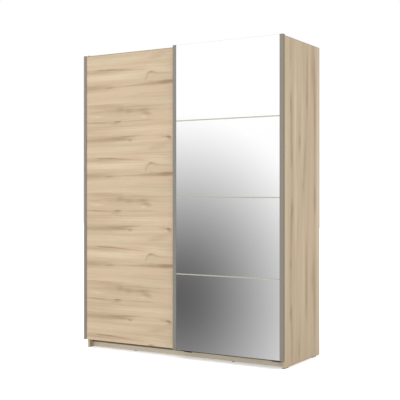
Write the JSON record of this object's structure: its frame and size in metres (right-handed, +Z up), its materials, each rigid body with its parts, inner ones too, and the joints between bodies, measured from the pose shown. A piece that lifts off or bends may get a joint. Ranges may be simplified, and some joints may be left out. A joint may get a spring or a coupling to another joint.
{
  "type": "sliding door wardrobe",
  "caption": "Tall oak-decor wardrobe with overlay sliding doors, one plain and one mirrored, that hang from a twin top track over a recessed plinth.",
  "frame": {"origin": "on the floor, under the middle of the whole object with its doors", "axes": "+Z up, -Y towards the doors' front, +X to the right of someone facing the doors"},
  "size_m": [1.53, 0.57, 2],
  "materials": {
    "oak_board": "oak decor melamine board, matt, vertical grain",
    "oak_front": "oak decor melamine board, matt, horizontal grain",
    "back_sheet": "thin hardboard, white lacquer inside, brown behind",
    "mirror_glass": "silvered float glass, 4 mm",
    "handle_profile": "satin anodised, grey",
    "divider_strip": "satin anodised, pale champagne grey",
    "track_aluminium": "mill finish extrusion",
    "zinc_steel": "zinc plated",
    "chrome_rail": "polished chrome plate",
    "black_plastic": "moulded, matt black",
    "brown_plastic": "extruded, matt dark brown",
    "grey_plastic": "moulded, matt grey"
  },
  "bodies": {
    "carcass": {"back_panel_left": "back_sheet", "back_panel_right": "back_sheet", "bottom_panel": "oak_board", "bottom_track": "brown_plastic", "centre_partition": "oak_board", "glide_front_left": "grey_plastic", "glide_front_right": "grey_plastic", "glide_rear_left": "grey_plastic", "glide_rear_right": "grey_plastic", "hanging_rail": "chrome_rail", "hat_shelf": "oak_board", "plinth_front": "oak_board", "plinth_glide_left": "grey_plastic", "plinth_glide_right": "grey_plastic", "plinth_rear": "oak_board", "rail_socket_left": "chrome_rail", "rail_socket_right": "chrome_rail", "right_shelf_1": "oak_board", "right_shelf_2": "oak_board", "right_shelf_3": "oak_board", "right_shelf_4": "oak_board", "side_panel_left": "oak_board", "side_panel_right": "oak_board", "top_panel": "oak_board", "top_track": "track_aluminium", "track_stop_front_left": "black_plastic", "track_stop_front_right": "black_plastic", "track_stop_rear_left": "black_plastic", "track_stop_rear_right": "black_plastic", "wall_bracket_left": "zinc_steel", "wall_bracket_right": "zinc_steel"},
    "left_door": {"left_door_axle_left": "zinc_steel", "left_door_axle_right": "zinc_steel", "left_door_board": "oak_front", "left_door_guide_left": "black_plastic", "left_door_guide_right": "black_plastic", "left_door_hanger_left": "zinc_steel", "left_door_hanger_right": "zinc_steel", "left_door_profile_left": "handle_profile", "left_door_profile_right": "handle_profile"},
    "right_door": {"mirror_divider_1": "divider_strip", "mirror_divider_2": "divider_strip", "mirror_divider_3": "divider_strip", "mirror_pane_1": "mirror_glass", "mirror_pane_2": "mirror_glass", "mirror_pane_3": "mirror_glass", "mirror_pane_4": "mirror_glass", "right_door_axle_left": "zinc_steel", "right_door_axle_right": "zinc_steel", "right_door_board": "oak_front", "right_door_guide_left": "black_plastic", "right_door_guide_right": "black_plastic", "right_door_hanger_left": "zinc_steel", "right_door_hanger_right": "zinc_steel", "right_door_profile_left": "handle_profile", "right_door_profile_right": "handle_profile"},
    "left_door_wheel_left": {"left_door_wheel_left": "black_plastic"},
    "left_door_wheel_right": {"left_door_wheel_right": "black_plastic"},
    "right_door_wheel_left": {"right_door_wheel_left": "black_plastic"},
    "right_door_wheel_right": {"right_door_wheel_right": "black_plastic"}
  },
  "joints": [
    {"name": "left_door_slide", "type": "slide", "parent": "carcass", "child": "left_door", "axis": [1, 0, 0], "range_m": [0, 0.745]},
    {"name": "right_door_slide", "type": "slide", "parent": "carcass", "child": "right_door", "axis": [1, 0, 0], "range_m": [-0.745, 0]},
    {"name": "left_door_wheel_left_spin", "type": "hinge", "parent": "left_door", "child": "left_door_wheel_left", "pos_m": [-0.685, -0.2075, 1.9663], "axis": [0, 1, 0], "continuous": true},
    {"name": "left_door_wheel_right_spin", "type": "hinge", "parent": "left_door", "child": "left_door_wheel_right", "pos_m": [-0.06, -0.2075, 1.9663], "axis": [0, 1, 0], "continuous": true},
    {"name": "right_door_wheel_left_spin", "type": "hinge", "parent": "right_door", "child": "right_door_wheel_left", "pos_m": [0.06, -0.1655, 1.9663], "axis": [0, 1, 0], "continuous": true},
    {"name": "right_door_wheel_right_spin", "type": "hinge", "parent": "right_door", "child": "right_door_wheel_right", "pos_m": [0.685, -0.1655, 1.9663], "axis": [0, 1, 0], "continuous": true}
  ],
  "couplings": [
    {"joint": "left_door_wheel_left_spin", "follows": "left_door_slide", "rad_per_m": 83.333},
    {"joint": "left_door_wheel_right_spin", "follows": "left_door_slide", "rad_per_m": 83.333},
    {"joint": "right_door_wheel_left_spin", "follows": "right_door_slide", "rad_per_m": 83.333},
    {"joint": "right_door_wheel_right_spin", "follows": "right_door_slide", "rad_per_m": 83.333}
  ]
}
